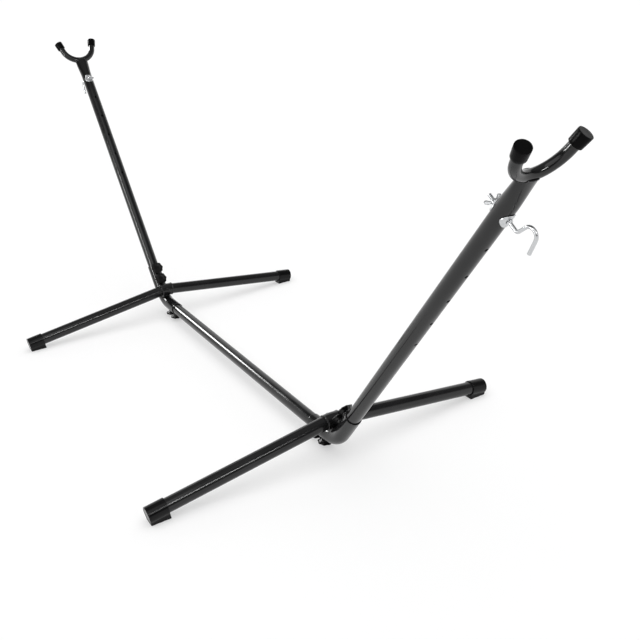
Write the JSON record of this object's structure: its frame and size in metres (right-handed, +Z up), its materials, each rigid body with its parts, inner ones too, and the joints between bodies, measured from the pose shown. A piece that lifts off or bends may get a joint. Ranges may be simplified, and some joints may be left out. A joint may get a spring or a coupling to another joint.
{
  "type": "hammock stand",
  "caption": "Steel tube hammock stand: arched base tubes crossing a low spine, outward leaning uprights with U yokes, bent hooks, wing nuts and hand knobs",
  "frame": {"origin": "on the floor under the middle of the spine tube", "axes": "+X along the spine towards end a, +Y across the stand, +Z up"},
  "size_m": [2.8024, 1.1758, 1.0544],
  "materials": {
    "black_powder_coat": "gloss",
    "black_plastic": "satin",
    "black_rubber": "satin",
    "zinc_plate": "bright"
  },
  "bodies": {
    "stand": {"spine": "black_powder_coat", "elbow_a": "black_powder_coat", "upright_a": "black_powder_coat", "yoke_a": "black_powder_coat", "yoke_cap_a_l": "black_rubber", "yoke_cap_a_r": "black_rubber", "base_tube_a": "black_powder_coat", "foot_cap_a_l": "black_rubber", "foot_cap_a_r": "black_rubber", "saddle_a": "black_powder_coat", "saddle_screw_a": "black_powder_coat", "washer_a_outer": "zinc_plate", "washer_a_inner": "zinc_plate", "upright_screw_a1_boss": "black_powder_coat", "upright_screw_a2_boss": "black_powder_coat", "spine_screw_a1_boss": "black_powder_coat", "spine_screw_a2_boss": "black_powder_coat", "elbow_b": "black_powder_coat", "upright_b": "black_powder_coat", "yoke_b": "black_powder_coat", "yoke_cap_b_l": "black_rubber", "yoke_cap_b_r": "black_rubber", "base_tube_b": "black_powder_coat", "foot_cap_b_l": "black_rubber", "foot_cap_b_r": "black_rubber", "saddle_b": "black_powder_coat", "saddle_screw_b": "black_powder_coat", "washer_b_outer": "zinc_plate", "washer_b_inner": "zinc_plate", "upright_screw_b1_boss": "black_powder_coat", "upright_screw_b2_boss": "black_powder_coat", "spine_screw_b1_boss": "black_powder_coat", "spine_screw_b2_boss": "black_powder_coat"},
    "hook_a_body": {"hook_a": "zinc_plate"},
    "wing_nut_a_body": {"wing_nut_a": "zinc_plate"},
    "upright_screw_a1": {"upright_screw_a1_knob": "black_plastic", "upright_screw_a1_stud": "zinc_plate"},
    "upright_screw_a2": {"upright_screw_a2_knob": "black_plastic", "upright_screw_a2_stud": "zinc_plate"},
    "spine_screw_a1": {"spine_screw_a1_knob": "black_plastic", "spine_screw_a1_stud": "zinc_plate"},
    "spine_screw_a2": {"spine_screw_a2_knob": "black_plastic", "spine_screw_a2_stud": "zinc_plate"},
    "hook_b_body": {"hook_b": "zinc_plate"},
    "wing_nut_b_body": {"wing_nut_b": "zinc_plate"},
    "upright_screw_b1": {"upright_screw_b1_knob": "black_plastic", "upright_screw_b1_stud": "zinc_plate"},
    "upright_screw_b2": {"upright_screw_b2_knob": "black_plastic", "upright_screw_b2_stud": "zinc_plate"},
    "spine_screw_b1": {"spine_screw_b1_knob": "black_plastic", "spine_screw_b1_stud": "zinc_plate"},
    "spine_screw_b2": {"spine_screw_b2_knob": "black_plastic", "spine_screw_b2_stud": "zinc_plate"}
  },
  "joints": [
    {"name": "hook_swivel_a", "type": "hinge", "parent": "stand", "child": "hook_a_body", "pos_m": [1.29347, 0, 0.87485], "axis": [0.8049, 0, -0.5934], "continuous": true},
    {"name": "wing_nut_turn_a", "type": "hinge", "parent": "stand", "child": "wing_nut_a_body", "pos_m": [1.25484, 0, 0.90333], "axis": [-0.8049, 0, 0.5934], "continuous": true},
    {"name": "upright_screw_a1_turn", "type": "hinge", "parent": "stand", "child": "upright_screw_a1", "pos_m": [0.71542, 0, 0.17168], "axis": [-0.8049, 0, 0.5934], "continuous": true},
    {"name": "upright_screw_a2_turn", "type": "hinge", "parent": "stand", "child": "upright_screw_a2", "pos_m": [0.68694, 0, 0.13305], "axis": [-0.8049, 0, 0.5934], "continuous": true},
    {"name": "spine_screw_a1_turn", "type": "hinge", "parent": "stand", "child": "spine_screw_a1", "pos_m": [0.544, 0, 0.028], "axis": [0, 0, -1], "continuous": true},
    {"name": "spine_screw_a2_turn", "type": "hinge", "parent": "stand", "child": "spine_screw_a2", "pos_m": [0.592, 0, 0.028], "axis": [0, 0, -1], "continuous": true},
    {"name": "hook_swivel_b", "type": "hinge", "parent": "stand", "child": "hook_b_body", "pos_m": [-1.29347, 0, 0.87485], "axis": [-0.8049, 0, -0.5934], "continuous": true},
    {"name": "wing_nut_turn_b", "type": "hinge", "parent": "stand", "child": "wing_nut_b_body", "pos_m": [-1.25484, 0, 0.90333], "axis": [0.8049, 0, 0.5934], "continuous": true},
    {"name": "upright_screw_b1_turn", "type": "hinge", "parent": "stand", "child": "upright_screw_b1", "pos_m": [-0.71542, 0, 0.17168], "axis": [0.8049, 0, 0.5934], "continuous": true},
    {"name": "upright_screw_b2_turn", "type": "hinge", "parent": "stand", "child": "upright_screw_b2", "pos_m": [-0.68694, 0, 0.13305], "axis": [0.8049, 0, 0.5934], "continuous": true},
    {"name": "spine_screw_b1_turn", "type": "hinge", "parent": "stand", "child": "spine_screw_b1", "pos_m": [-0.544, 0, 0.028], "axis": [0, 0, -1], "continuous": true},
    {"name": "spine_screw_b2_turn", "type": "hinge", "parent": "stand", "child": "spine_screw_b2", "pos_m": [-0.592, 0, 0.028], "axis": [0, 0, -1], "continuous": true}
  ]
}
